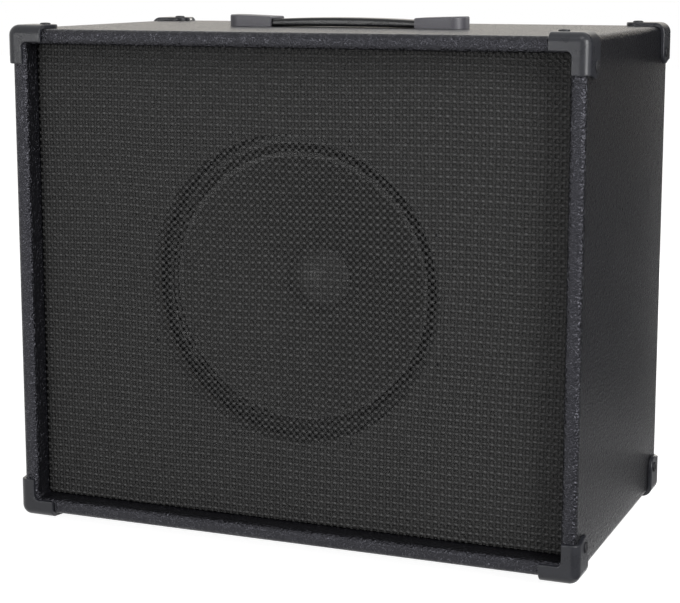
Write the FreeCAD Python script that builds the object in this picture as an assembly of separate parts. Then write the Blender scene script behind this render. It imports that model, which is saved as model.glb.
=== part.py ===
import FreeCAD, Part
import math
import os

# A one-by-twelve guitar speaker cabinet, semi-open at the back.
# Millimetres, +Z up, front face towards -Y, origin on the floor under the middle of the cabinet.

V = FreeCAD.Vector

# Shell, measured over the vinyl covering
shell_width = 543.0
shell_height = 460.0
shell_depth = 312.0
board_thickness = 12.0
vinyl_thickness = 0.8
glue_line = 0.2
long_edge_radius = 6.0
end_edge_radius = 5.0
opening_corner_radius = 2.5
finger_count = 9

# Front: cloth stretched over the baffle, which stands back from the front edge
cloth_recess = 21.0
cloth_thickness = 0.8
cloth_return = 24.0
baffle_thickness = 15.0
baffle_clearance = 0.4
front_lip_overlap = 4.0

# Battens behind the baffle and in front of the back panels
cleat_width = 20.0
cleat_depth = 18.0

# Back panels, with an open gap between them
back_recess = 12.0
back_panel_thickness = 10.0
back_panel_clearance = 1.0
upper_back_height = 118.0
lower_back_height = 152.0
rear_lip_gap = 1.0

# Moulded corner protectors
corner_thickness = 3.4
corner_gap = 0.3
corner_leg = 32.0
corner_leg_width = 12.2
corner_inner_radius = 4.5
corner_flange_depth = 31.0
corner_ear_radius = 11.0
corner_ear_height = 24.5
corner_rim_radius = 1.2

# Pan head wood screws
screw_head_radius = 5.0
screw_head_height = 1.6
screw_head_edge = 0.7
screw_head_top_radius = 3.0
screw_shank_radius = 1.9
screw_point_length = 5.0
screw_clearance = 0.1
corner_screw_length = 15.0
baffle_screw_length = 30.0
back_screw_length = 24.0
jack_plate_screw_length = 9.0
handle_screw_length = 20.0
foot_screw_length = 17.0
screw_edge_inset = 45.0
cup_washer_radius = 7.5
cup_washer_top_radius = 5.4
cup_washer_height = 2.0

# Strap handle on the top
handle_length = 238.0
handle_cap_length = 46.5
handle_cap_width = 32.0
handle_cap_height = 11.2
handle_cap_inner_height = 9.6
handle_cap_wall = 2.0
handle_cap_end_wall = 8.0
handle_cap_radius = 12.0
handle_screw_recess = 1.5
handle_screw_recess_radius = 5.4
strap_width = 26.0
strap_thickness = 7.0
strap_lift = 0.4
strap_bow = 1.8
strap_edge_radius = 2.6
strap_slot_clearance = 0.4
strap_end_play = 3.0
strap_screw_play = 4.0
strap_core_width = 16.0
strap_core_thickness = 1.0
strap_core_clearance = 0.1

# Rubber feet
foot_height = 10.0
foot_radius = 19.0
foot_taper = 3.0
foot_bevel = 1.5
foot_inset_x = 62.0
foot_inset_y = 58.0
foot_recess_radius = 8.0
foot_recess_depth = 5.0

# Twelve inch loudspeaker: radii, widths drawn in from its rim, and depths behind the front of the rim
rim_radius = 155.0
rim_lip_depth = 5.0
rim_overlap = 14.5
rim_bolt_inset = 6.2
bolt_count = 8
gasket_thickness = 3.0
gasket_width = 14.0
basket_metal = 1.6
basket_rim_width = 15.4
basket_landing_width = 8.6
basket_landing_depth = 2.0
basket_wall_start_depth = 14.0
spider_seat_radius = 66.0
spider_seat_inner_radius = 50.0
spider_seat_depth = 58.0
basket_floor_depth = 80.0
window_count = 6
window_outer_margin = 8.0
window_inner_margin = 7.0
window_spoke_width = 26.0
window_corner_radius = 8.0
surround_fold_width = 8.0
surround_inner_land = 4.5
surround_fold_height = 2.0
surround_folds = 2
surround_thickness = 0.7
surround_clearance = 0.3
cone_lip_width = 3.5
cone_thickness = 1.0
cone_neck_depth = 51.0
cone_neck_length = 4.0
dust_cap_radius = 31.0
dust_cap_height = 11.0
dust_cap_thickness = 0.8
spider_thickness = 0.6
spider_fold_height = 1.8
spider_folds = 4
spider_collar = 2.4
coil_radius = 22.2
coil_former_thickness = 0.3
coil_winding_thickness = 0.6
coil_winding_length = 12.0
coil_tail = 2.0
coil_gap = 0.6
glue_gap = 0.1
soft_gap = 0.3
top_plate_radius = 56.0
top_plate_thickness = 6.0
magnet_radius = 67.0
magnet_inner_radius = 31.0
magnet_thickness = 18.0
back_plate_thickness = 7.0
pole_vent_radius = 6.0

# Machine bolts and tee nuts that hold the loudspeaker
bolt_radius = 2.5
bolt_head_radius = 4.4
bolt_head_height = 3.2
bolt_hole_clearance = 0.4
tee_nut_flange_radius = 9.5
tee_nut_flange_thickness = 1.2
tee_nut_barrel_radius = 3.25
tee_nut_barrel_length = 9.0
tee_nut_bore_clearance = 0.1
tee_nut_fit = 0.15

# Terminal strip, its tabs and the flexible leads to the cone
strip_width = 36.0
strip_thickness = 2.0
tab_spacing = 18.0
tab_width = 6.3
tab_thickness = 0.8
tab_top_radius = 56.0
tab_end_radius = 102.0
tinsel_radius = 0.7
tinsel_tab_radius = 78.0
tinsel_straight = 8.0
tinsel_cone_radius = 60.0

# Jack plate and quarter inch jack
jack_plate_width = 70.0
jack_plate_height = 58.0
jack_plate_thickness = 2.0
jack_plate_corner = 6.0
jack_plate_screw_inset = 8.0
jack_cutout_radius = 20.0
jack_body_width = 22.0
jack_body_height = 20.0
jack_body_length = 24.0
jack_body_radius = 1.5
jack_nose_radius = 5.5
jack_nose_length = 8.0
jack_nose_clearance = 0.2
jack_bore_radius = 3.25
jack_bore_length = 31.0
jack_nut_across_flats = 16.0
jack_nut_thickness = 3.5
jack_lug_spacing = 12.0
jack_lug_width = 4.0
jack_lug_thickness = 0.8
jack_lug_length = 9.0

# Speaker leads inside the cabinet
lead_radius = 1.5
lead_drop = 24.0
lead_dip = 52.0
lead_dip_back = 18.0
lead_dip_out = 3.0
lead_floor_dip = 68.0
lead_floor_back = 54.0
lead_floor_out = 5.0
lead_rise = 26.0
lead_rise_back = 58.0
lead_rise_out = 2.0
lead_end_run = 26.0
boot_width = 9.0
boot_depth = 5.0
boot_length = 20.0
boot_clearance = 0.15
bend_share = 0.45

# Places worked out from the sizes above
skin = vinyl_thickness + glue_line
wall = board_thickness + 2 * skin
front_y = -shell_depth / 2
rear_y = shell_depth / 2
bottom_z = foot_height
top_z = foot_height + shell_height
middle_z = foot_height + shell_height / 2
board_inner_x = shell_width / 2 - skin - board_thickness
board_top_z = top_z - skin - board_thickness
board_bottom_z = bottom_z + skin + board_thickness
opening_x = shell_width / 2 - wall
opening_top_z = top_z - wall
opening_bottom_z = bottom_z + wall
cloth_y = front_y + cloth_recess
baffle_y = cloth_y + cloth_thickness
baffle_back_y = baffle_y + baffle_thickness
front_cleat_y = baffle_back_y + cloth_thickness
back_face_y = rear_y - back_recess
back_front_y = back_face_y - back_panel_thickness
rear_cleat_y = back_front_y - cleat_depth
rim_y = baffle_back_y + gasket_thickness
cutout_radius = rim_radius - rim_overlap
bolt_circle_radius = rim_radius - rim_bolt_inset
gasket_inner_radius = rim_radius - gasket_width
basket_landing_radius = rim_radius - basket_rim_width
basket_landing_inner_radius = basket_landing_radius - basket_landing_width
window_outer_radius = basket_landing_inner_radius - window_outer_margin
window_inner_radius = spider_seat_radius + window_inner_margin
surround_fold_inner_radius = basket_landing_inner_radius - surround_fold_width
surround_inner_radius = surround_fold_inner_radius - surround_inner_land
cone_lip_radius = surround_inner_radius + cone_lip_width
jack_z = opening_bottom_z + back_panel_clearance + lower_back_height / 2
past = 10.0
sharp_angle = math.radians(20)

parts = {}


def box(x0, x1, y0, y1, z0, z1):
    return Part.makeBox(x1 - x0, y1 - y0, z1 - z0, V(x0, y0, z0))


def rod(radius, start, end):
    return Part.makeCylinder(radius, (end - start).Length, start, end - start)


def edges_along(shape, direction):
    """Straight edges of a shape that run along a direction."""
    found = []
    for edge in shape.Edges:
        if edge.Curve.TypeId == "Part::GeomLine":
            run = edge.Vertexes[-1].Point - edge.Vertexes[0].Point
            if run.cross(direction).Length < 1e-6 * run.Length:
                found.append(edge)
    return found


def edges_at_y(shape, y):
    """Edges of a shape that lie in the plane of one Y."""
    return [e for e in shape.Edges if abs(e.BoundBox.YMin - y) < 1e-6 and abs(e.BoundBox.YMax - y) < 1e-6]


def face_of(edges):
    return Part.Face(Part.Wire(Part.__sortEdges__(edges)))


def polygon_face(points):
    return Part.Face(Part.makePolygon(points + points[:1]))


def line(a, b):
    return Part.LineSegment(a, b).toShape()


def arc(a, via, b):
    return Part.Arc(a, via, b).toShape()


def spun(face, base, axis):
    """A full turn of a profile about an axis, with its faces pointing outwards."""
    solid = face.revolve(base, axis, 360)
    if solid.Volume < 0:
        solid.reverse()
    return solid


def drilled(shape, tools):
    return shape.cut(tools) if tools else shape


def group(shapes):
    return Part.makeCompound(shapes)


# Wood screws and their pilot holes

def wood_screw(seat, into, length):
    """A pan head screw whose head sits on the seat point and whose shank runs into the wood."""
    outline = [
        V(0, 0, screw_head_height),
        V(screw_head_top_radius, 0, screw_head_height),
        V(screw_head_radius, 0, screw_head_edge),
        V(screw_head_radius, 0, 0),
        V(screw_shank_radius, 0, 0),
        V(screw_shank_radius, 0, screw_point_length - length),
        V(0, 0, -length),
    ]
    screw = spun(polygon_face(outline), V(0, 0, 0), V(0, 0, 1))
    screw.Placement = FreeCAD.Placement(seat, FreeCAD.Rotation(V(0, 0, -1), into))
    return screw


def pilot(seat, into, length):
    """The hole that a screw runs in, a little wider and deeper than its shank."""
    return rod(screw_shank_radius + screw_clearance, seat, seat + into * (length + screw_clearance))


def screws_and_pilots(places, length):
    screws = [wood_screw(seat, into, length) for seat, into in places]
    pilots = [pilot(seat, into, length) for seat, into in places]
    return screws, pilots


# Where every screw goes

def corner_signs():
    return [(sx, sy, sz) for sx in (-1, 1) for sy in (-1, 1) for sz in (-1, 1)]


def corner_screw_places():
    """Two screws in each corner protector: one from the side, one from above or below."""
    proud = corner_gap + corner_thickness
    depth_in = corner_flange_depth - corner_ear_radius
    places = []
    for sx, sy, sz in corner_signs():
        y = sy * (shell_depth / 2 - depth_in)
        side = V(sx * (shell_width / 2 + proud), y, middle_z + sz * (shell_height / 2 - corner_ear_height))
        flat = V(sx * (shell_width / 2 - corner_ear_height), y, middle_z + sz * (shell_height / 2 + proud))
        places.append((side, V(-sx, 0, 0)))
        places.append((flat, V(0, 0, -sz)))
    return places


def handle_screw_places():
    x = handle_length / 2 - handle_cap_length / 2
    z = top_z + (handle_cap_height + handle_cap_inner_height) / 2 - handle_screw_recess
    return [(V(side * x, 0, z), V(0, 0, -1)) for side in (-1, 1)]


def foot_centres():
    x = shell_width / 2 - foot_inset_x
    y = shell_depth / 2 - foot_inset_y
    return {
        "rubber_foot_front_left": V(-x, -y, 0),
        "rubber_foot_front_right": V(x, -y, 0),
        "rubber_foot_rear_left": V(-x, y, 0),
        "rubber_foot_rear_right": V(x, y, 0),
    }


def foot_screw_places():
    return [(c + V(0, 0, foot_recess_depth), V(0, 0, 1)) for c in foot_centres().values()]


def baffle_screw_places():
    """Screws through the front battens into the back of the baffle."""
    y = front_cleat_y + cleat_depth
    x = board_inner_x - cleat_width / 2
    z_reach = shell_height / 2 - skin - board_thickness - cleat_width / 2
    side_reach = z_reach - screw_edge_inset
    end_reach = x - 2 * screw_edge_inset
    spots = [(side * x, dz) for side in (-1, 1) for dz in (-side_reach, 0, side_reach)]
    spots += [(dx, side * z_reach) for side in (-1, 1) for dx in (-end_reach, end_reach)]
    return [(V(px, y, middle_z + dz), V(0, -1, 0)) for px, dz in spots]


def back_panel_screw_places():
    """Screws with cup washers through the back panels into the rear battens."""
    y = back_face_y + cup_washer_height
    x = board_inner_x - cleat_width / 2
    row_x = x - screw_edge_inset
    upper_z = board_top_z - cleat_width / 2
    lower_z = board_bottom_z + cleat_width / 2
    upper_side_z = opening_top_z - upper_back_height + screw_edge_inset / 2
    lower_side_z = opening_bottom_z + lower_back_height - screw_edge_inset / 2
    spots = [(dx, z) for z in (upper_z, lower_z) for dx in (-row_x, 0, row_x)]
    spots += [(side * x, z) for z in (upper_side_z, lower_side_z) for side in (-1, 1)]
    return [(V(px, y, z), V(0, -1, 0)) for px, z in spots]


def jack_plate_screw_places():
    y = back_face_y + jack_plate_thickness
    x = jack_plate_width / 2 - jack_plate_screw_inset
    z = jack_plate_height / 2 - jack_plate_screw_inset
    return [(V(sx * x, y, jack_z + sz * z), V(0, -1, 0)) for sx in (-1, 1) for sz in (-1, 1)]


corner_screws, corner_pilots = screws_and_pilots(corner_screw_places(), corner_screw_length)
handle_screws, handle_pilots = screws_and_pilots(handle_screw_places(), handle_screw_length)
foot_screws, foot_pilots = screws_and_pilots(foot_screw_places(), foot_screw_length)
baffle_screws, baffle_pilots = screws_and_pilots(baffle_screw_places(), baffle_screw_length)
back_screws, back_pilots = screws_and_pilots(back_panel_screw_places(), back_screw_length)
plate_screws, plate_pilots = screws_and_pilots(jack_plate_screw_places(), jack_plate_screw_length)
shell_pilots = corner_pilots + handle_pilots + foot_pilots

parts["corner_screws"] = group(corner_screws)
parts["handle_screws"] = group(handle_screws)
parts["foot_screws"] = group(foot_screws)
parts["baffle_screws"] = group(baffle_screws)
parts["back_screws"] = group(back_screws + plate_screws)


# Shell boards, finger jointed, and the vinyl glued over them

def shell_tube(inset):
    """The open box of the shell, drawn in from the covered surface by an inset on every side."""
    half_x = shell_width / 2 - inset
    y0, y1 = front_y + inset, rear_y - inset
    block = box(-half_x, half_x, y0, y1, bottom_z + inset, top_z - inset)
    block = block.makeFillet(long_edge_radius - inset, edges_along(block, V(0, 1, 0)))
    hole_x = opening_x + inset
    hole = box(-hole_x, hole_x, front_y - past, rear_y + past,
               opening_bottom_z - inset, opening_top_z + inset)
    hole = hole.makeFillet(opening_corner_radius + inset, edges_along(hole, V(0, 1, 0)))
    tube = block.cut(hole)
    return tube.makeFillet(end_edge_radius - inset, edges_at_y(tube, y0) + edges_at_y(tube, y1))


def finger_slots(first, x0, x1, z0, z1):
    """Every second finger space along the depth, over one corner of the shell."""
    pitch = shell_depth / finger_count
    starts = [front_y + k * pitch for k in range(first, finger_count, 2)]
    return [box(x0, x1, y, y + pitch, z0, z1) for y in starts]


def make_shell():
    board = shell_tube(skin)
    far_x = shell_width / 2 + past
    far_y = shell_depth / 2 + past
    low, high = bottom_z - past, top_z + past
    upper, lower = (board_top_z, high), (low, board_bottom_z)
    left, right = (-far_x, -board_inner_x), (board_inner_x, far_x)
    for name, (z0, z1) in (("top_panel", upper), ("bottom_panel", lower)):
        slots = []
        for x0, x1 in (left, right):
            slots += finger_slots(1, x0, x1, z0, z1)
        panel = board.common(box(-far_x, far_x, -far_y, far_y, z0, z1)).cut(slots)
        parts[name] = drilled(panel, shell_pilots)
    for name, (x0, x1) in (("left_side_panel", left), ("right_side_panel", right)):
        slots = []
        for z0, z1 in (upper, lower):
            slots += finger_slots(0, x0, x1, z0, z1)
        panel = board.common(box(x0, x1, -far_y, far_y, low, high)).cut(slots)
        parts[name] = drilled(panel, shell_pilots)


def make_vinyl():
    """Covers the outside, turns in over the front and rear edges and ends just inside."""
    lip_front = front_y + cloth_recess + front_lip_overlap
    lip_rear = back_front_y + rear_lip_gap
    bare_x = opening_x + vinyl_thickness + glue_line / 2
    bare_margin = vinyl_thickness + glue_line / 2
    bare = box(-bare_x, bare_x, lip_front, lip_rear,
               opening_bottom_z - bare_margin, opening_top_z + bare_margin)
    covering = shell_tube(0).cut([shell_tube(vinyl_thickness), bare])
    parts["vinyl_covering"] = drilled(covering, shell_pilots)


make_shell()
make_vinyl()


# Battens glued inside the shell, a frame behind the baffle and one for the back panels

def make_cleats(end, y0, pilots):
    y1 = y0 + cleat_depth
    inner_x = board_inner_x - cleat_width
    spans = {
        "left": (-board_inner_x, -inner_x, board_bottom_z, board_top_z),
        "right": (inner_x, board_inner_x, board_bottom_z, board_top_z),
        "top": (-inner_x, inner_x, board_top_z - cleat_width, board_top_z),
        "bottom": (-inner_x, inner_x, board_bottom_z, board_bottom_z + cleat_width),
    }
    for side, (x0, x1, z0, z1) in spans.items():
        parts[end + "_cleat_" + side] = drilled(box(x0, x1, y0, y1, z0, z1), pilots)


make_cleats("front", front_cleat_y, baffle_pilots)
make_cleats("rear", rear_cleat_y, back_pilots)


# Baffle, cloth, tee nuts and loudspeaker bolts

def bolt_spots():
    """Points on the bolt circle, as offsets from the loudspeaker axis."""
    angles = [(k + 0.5) * 2 * math.pi / bolt_count for k in range(bolt_count)]
    return [(bolt_circle_radius * math.cos(a), bolt_circle_radius * math.sin(a)) for a in angles]


def axis_rods(radius, y0, y1):
    """One rod along Y at each place of the bolt circle."""
    return [rod(radius, V(dx, y0, middle_z + dz), V(dx, y1, middle_z + dz)) for dx, dz in bolt_spots()]


def make_baffle():
    half_x = opening_x - baffle_clearance - cloth_thickness
    z0 = opening_bottom_z + baffle_clearance + cloth_thickness
    z1 = opening_top_z - baffle_clearance - cloth_thickness
    board = box(-half_x, half_x, baffle_y, baffle_back_y, z0, z1)
    board = board.makeFillet(opening_corner_radius, edges_along(board, V(0, 1, 0)))
    cutout = rod(cutout_radius, V(0, baffle_y - past, middle_z), V(0, baffle_back_y + past, middle_z))
    barrels = axis_rods(tee_nut_barrel_radius + tee_nut_fit, baffle_y, baffle_back_y + past)
    flanges = axis_rods(tee_nut_flange_radius + tee_nut_fit, baffle_y - past,
                        baffle_y + tee_nut_flange_thickness)
    parts["baffle_board"] = board.cut([cutout] + barrels + flanges + baffle_pilots)

    t = cloth_thickness
    wrap = box(-half_x - t, half_x + t, cloth_y, front_cleat_y, z0 - t, z1 + t)
    wrap = wrap.makeFillet(opening_corner_radius + t, edges_along(wrap, V(0, 1, 0)))
    back_x = half_x + t - cloth_return
    back_rise = cloth_return - t
    window = box(-back_x, back_x, baffle_y, front_cleat_y + past, z0 + back_rise, z1 - back_rise)
    parts["grille_cloth"] = wrap.cut([board, window] + baffle_pilots)


def make_speaker_fasteners():
    flange_end = baffle_y + tee_nut_flange_thickness
    flanges = axis_rods(tee_nut_flange_radius, baffle_y, flange_end)
    barrels = axis_rods(tee_nut_barrel_radius, flange_end, flange_end + tee_nut_barrel_length)
    bores = axis_rods(bolt_radius + tee_nut_bore_clearance, baffle_y - past, baffle_back_y)
    nuts = [f.fuse(b).cut(h) for f, b, h in zip(flanges, barrels, bores)]
    parts["tee_nuts"] = group(nuts)
    seat = rim_y + basket_metal
    shanks = axis_rods(bolt_radius, flange_end, seat)
    heads = axis_rods(bolt_head_radius, seat, seat + bolt_head_height)
    bolts = [s.fuse(h) for s, h in zip(shanks, heads)]
    parts["speaker_bolts"] = group(bolts)


make_baffle()
make_speaker_fasteners()


# Loudspeaker: profiles in radius and depth behind the rim, turned about the loudspeaker axis

def at(radius, depth):
    return V(radius, rim_y + depth, middle_z)


def turned(edges):
    return spun(face_of(edges), V(0, 0, middle_z), V(0, 1, 0))


def turned_outline(points):
    corners = [at(r, d) for r, d in points]
    return turned([line(a, b) for a, b in zip(corners, corners[1:] + corners[:1])])


def ring(inner, outer, depth0, depth1):
    return turned_outline([(inner, depth0), (outer, depth0), (outer, depth1), (inner, depth1)])


def bolt_clearances():
    return axis_rods(bolt_radius + bolt_hole_clearance, rim_y - past, rim_y + past)


def window_cutter(angle):
    """A rounded fan-shaped tool that cuts one window between two spokes of the basket."""
    half = math.pi / window_count
    r0, r1 = window_inner_radius, window_outer_radius
    edge = window_spoke_width / 2
    inner = math.asin(edge / r0)
    outer = math.asin(edge / r1)

    behind_landing = rim_y + basket_landing_depth + basket_metal

    def spot(radius, turn):
        return V(radius * math.cos(turn), behind_landing, radius * math.sin(turn))

    a, b = spot(r0, inner - half), spot(r1, outer - half)
    c, d = spot(r1, half - outer), spot(r0, half - inner)
    fan = face_of([line(a, b), arc(b, spot(r1, 0), c), line(c, d), arc(d, spot(r0, 0), a)])
    tool = fan.extrude(V(0, basket_floor_depth, 0))
    tool = tool.makeFillet(window_corner_radius, edges_along(tool, V(0, 1, 0)))
    tool.rotate(V(0, 0, 0), V(0, 1, 0), math.degrees(angle))
    tool.translate(V(0, 0, middle_z))
    return tool


def make_basket():
    """Pressed steel: rim with a turned back edge, step for the surround, spoked wall, spider seat, floor."""
    m = basket_metal
    step = basket_landing_depth
    pressing = turned_outline([
        (basket_landing_radius, 0),
        (rim_radius, 0),
        (rim_radius, rim_lip_depth),
        (rim_radius - m, rim_lip_depth),
        (rim_radius - m, m),
        (basket_landing_radius + m, m),
        (basket_landing_radius + m, step + m),
        (basket_landing_inner_radius + m, step + m),
        (basket_landing_inner_radius + m, basket_wall_start_depth),
        (spider_seat_radius + m, spider_seat_depth + m),
        (spider_seat_inner_radius + m, spider_seat_depth + m),
        (spider_seat_inner_radius + m, basket_floor_depth + m),
        (coil_bore_radius, basket_floor_depth + m),
        (coil_bore_radius, basket_floor_depth),
        (spider_seat_inner_radius, basket_floor_depth),
        (spider_seat_inner_radius, spider_seat_depth),
        (spider_seat_radius, spider_seat_depth),
        (basket_landing_inner_radius, basket_wall_start_depth - m),
        (basket_landing_inner_radius, step),
        (basket_landing_radius, step),
    ])
    turns = [(k + 0.5) * 2 * math.pi / window_count for k in range(window_count)]
    windows = [window_cutter(turn) for turn in turns]
    parts["speaker_basket"] = pressing.cut(windows + bolt_clearances())
    gasket = ring(gasket_inner_radius, rim_radius, -gasket_thickness, 0)
    parts["speaker_gasket"] = gasket.cut(bolt_clearances())


def pleated_ring(inner, fold_inner, fold_outer, outer, depth, height, folds, thickness):
    """A flat ring with a band of pleats between its two flat edges, up and down by turns."""
    pitch = (fold_outer - fold_inner) / (2 * folds)
    crests = [(fold_inner + (k + 0.5) * pitch, -height if k % 2 else height) for k in range(2 * folds)]
    front = [(inner, depth), (fold_inner, depth)]
    front += [(r, depth + rise) for r, rise in crests]
    front += [(fold_outer, depth), (outer, depth)]
    rear = [(r, d + thickness) for r, d in reversed(front)]
    return turned_outline(front + rear)


surround_depth = basket_landing_depth - surround_thickness
coil_outer_radius = coil_radius + coil_former_thickness
coil_bore_radius = coil_outer_radius + coil_winding_thickness + coil_gap
cone_neck_radius = coil_outer_radius + glue_gap
plate_depth = basket_floor_depth + basket_metal
magnet_depth = plate_depth + top_plate_thickness
back_plate_depth = magnet_depth + magnet_thickness
cone_rim_depth = surround_depth + surround_thickness + surround_clearance


def cone_depth_at(radius):
    """Depth of the front of the cone at a radius."""
    share = (surround_inner_radius - radius) / (surround_inner_radius - cone_neck_radius)
    return cone_rim_depth + share * (cone_neck_depth - cone_rim_depth)


def dome(radius, height, depth):
    """Half of a spherical dome that bulges forwards from a depth, from its rim to the axis."""
    sphere = (radius ** 2 + height ** 2) / (2 * height)
    half = math.asin(radius / sphere) / 2
    middle = at(sphere * math.sin(half), depth - height + sphere * (1 - math.cos(half)))
    return arc(at(radius, depth), middle, at(0, depth - height))


def make_moving_parts():
    """Cone, dust cap and voice coil, which travel together along the axis."""
    t = cone_thickness
    lip_inner = surround_inner_radius
    neck_end = cone_neck_depth + cone_neck_length
    parts["speaker_cone"] = turned_outline([
        (cone_neck_radius, cone_neck_depth),
        (lip_inner, cone_rim_depth),
        (cone_lip_radius, cone_rim_depth),
        (cone_lip_radius, cone_rim_depth + t),
        (lip_inner, cone_rim_depth + t),
        (cone_neck_radius + t, cone_neck_depth + t),
        (cone_neck_radius + t, neck_end),
        (cone_neck_radius, neck_end),
    ])

    seat = cone_depth_at(dust_cap_radius) - soft_gap
    c = dust_cap_thickness
    parts["speaker_dust_cap"] = turned([
        dome(dust_cap_radius, dust_cap_height, seat - c),
        line(at(dust_cap_radius, seat - c), at(dust_cap_radius, seat)),
        dome(dust_cap_radius, dust_cap_height, seat),
        line(at(0, seat - dust_cap_height), at(0, seat - c - dust_cap_height)),
    ])

    gap_middle = plate_depth + top_plate_thickness / 2
    winding_start = gap_middle - coil_winding_length / 2
    winding_end = gap_middle + coil_winding_length / 2
    former = ring(coil_radius, coil_outer_radius, cone_neck_depth, winding_end + coil_tail)
    winding = ring(coil_outer_radius, coil_outer_radius + coil_winding_thickness, winding_start, winding_end)
    parts["voice_coil"] = former.fuse(winding)


def make_suspension():
    """Pleated surround at the rim and pleated spider round the coil."""
    parts["speaker_surround"] = pleated_ring(
        surround_inner_radius, surround_fold_inner_radius, basket_landing_inner_radius - soft_gap,
        basket_landing_radius - soft_gap, surround_depth,
        surround_fold_height, surround_folds, surround_thickness)
    inner = coil_outer_radius + soft_gap
    parts["speaker_spider"] = pleated_ring(
        inner, inner + spider_collar, spider_seat_inner_radius - soft_gap,
        spider_seat_radius - soft_gap, spider_seat_depth - spider_thickness,
        spider_fold_height, spider_folds, spider_thickness)


def make_magnet():
    """Top plate, ferrite ring, and back plate in one piece with the vented pole."""
    parts["magnet_top_plate"] = ring(coil_bore_radius, top_plate_radius, plate_depth, magnet_depth)
    parts["ferrite_magnet"] = ring(magnet_inner_radius, magnet_radius, magnet_depth, back_plate_depth)
    pole_radius = coil_radius - coil_gap
    rear = back_plate_depth + back_plate_thickness
    parts["magnet_back_plate"] = turned_outline([
        (pole_vent_radius, plate_depth),
        (pole_radius, plate_depth),
        (pole_radius, back_plate_depth),
        (top_plate_radius, back_plate_depth),
        (top_plate_radius, rear),
        (pole_vent_radius, rear),
    ])


make_basket()
make_moving_parts()
make_suspension()
make_magnet()


# Cords: tubes along straight runs joined by tangent arcs

def bend(before, corner, after):
    """Start, middle, end and radius of the arc that rounds one point of a route."""
    to_before, to_after = before - corner, after - corner
    cut = bend_share * min(to_before.Length, to_after.Length)
    u = FreeCAD.Vector(to_before).normalize()
    w = FreeCAD.Vector(to_after).normalize()
    half = math.acos(max(-1, min(1, u.dot(w)))) / 2
    radius = cut * math.tan(half)
    inward = (u + w).normalize()
    middle = corner + inward * (cut / math.cos(half) - radius)
    return corner + u * cut, middle, corner + w * cut, radius


def cord(name, points, radius):
    edges = []
    radii = []
    start = points[0]
    for before, corner, after in zip(points, points[1:], points[2:]):
        a, via, b, r = bend(before, corner, after)
        edges += [line(start, a), arc(a, via, b)]
        radii.append(round(r, 1))
        start = b
    edges.append(line(start, points[-1]))
    path = Part.Wire(edges)
    section = Part.Wire(Part.Circle(points[0], points[1] - points[0], radius).toShape())
    tube = path.makePipeShell([section], True, False)
    ideal = math.pi * radius ** 2 * path.Length
    print(name, "bend radii", radii, "volume against section times length", round(tube.Volume / ideal, 4))
    return tube


def make_terminals():
    """Fibre strip riveted behind the spider seat, two brass tabs, and tinsel leads to the cone."""
    strip_y = rim_y + spider_seat_depth + basket_metal
    tab_y = strip_y + strip_thickness
    strip_low = middle_z - spider_seat_radius
    strip_high = middle_z - spider_seat_inner_radius - basket_metal - soft_gap
    parts["terminal_strip"] = box(-strip_width / 2, strip_width / 2, strip_y, tab_y, strip_low, strip_high)
    tabs = []
    tinsels = []
    slope = (cone_neck_depth - cone_rim_depth) / (surround_inner_radius - cone_neck_radius)
    outward = V(0, 1, -slope).normalize()
    cone_back = rim_y + cone_depth_at(tinsel_cone_radius) + cone_thickness + soft_gap
    for side in (-1, 1):
        x = side * tab_spacing / 2
        tabs.append(box(x - tab_width / 2, x + tab_width / 2, tab_y, tab_y + tab_thickness,
                        middle_z - tab_end_radius, middle_z - tab_top_radius))
        tab_point = V(x, tab_y, middle_z - tinsel_tab_radius)
        cone_point = V(x, cone_back, middle_z - tinsel_cone_radius)
        tinsels.append(cord("tinsel lead", [
            tab_point,
            tab_point - V(0, tinsel_straight, 0),
            cone_point + outward * tinsel_straight,
            cone_point,
        ], tinsel_radius))
    parts["terminal_tabs"] = group(tabs)
    parts["tinsel_leads"] = group(tinsels)


def speaker_lead(name, side):
    """One insulated lead: a push-on connector on its tab, and a wire down and back to the jack."""
    x = side * tab_spacing / 2
    tab_y = rim_y + spider_seat_depth + basket_metal + strip_thickness
    boot_y = tab_y + tab_thickness / 2
    tab_end = middle_z - tab_end_radius
    boot_low = tab_end - boot_width / 2
    boot = box(x - boot_width / 2, x + boot_width / 2, boot_y - boot_depth / 2, boot_y + boot_depth / 2,
               boot_low, boot_low + boot_length)
    c = boot_clearance
    slot = box(x - tab_width / 2 - c, x + tab_width / 2 + c, tab_y - c, tab_y + tab_thickness + c,
               tab_end - c, boot_low + boot_length + past)
    lug_x = side * jack_lug_spacing / 2
    lug_y = back_face_y - jack_body_length - jack_lug_length
    wire = cord(name, [
        V(x, boot_y, boot_low),
        V(x, boot_y, boot_low - lead_drop),
        V(x + side * lead_dip_out, boot_y + lead_dip_back, boot_low - lead_dip),
        V(x + side * lead_floor_out, boot_y + lead_floor_back, boot_low - lead_floor_dip),
        V(x + side * lead_rise_out, lug_y - lead_rise_back, jack_z - lead_rise),
        V(lug_x, lug_y - lead_end_run, jack_z),
        V(lug_x, lug_y, jack_z),
    ], lead_radius)
    parts[name] = group([boot.cut(slot), wire])


make_terminals()
speaker_lead("speaker_lead_red", -1)
speaker_lead("speaker_lead_black", 1)


# Back panels, cup washers, jack plate and jack

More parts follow.
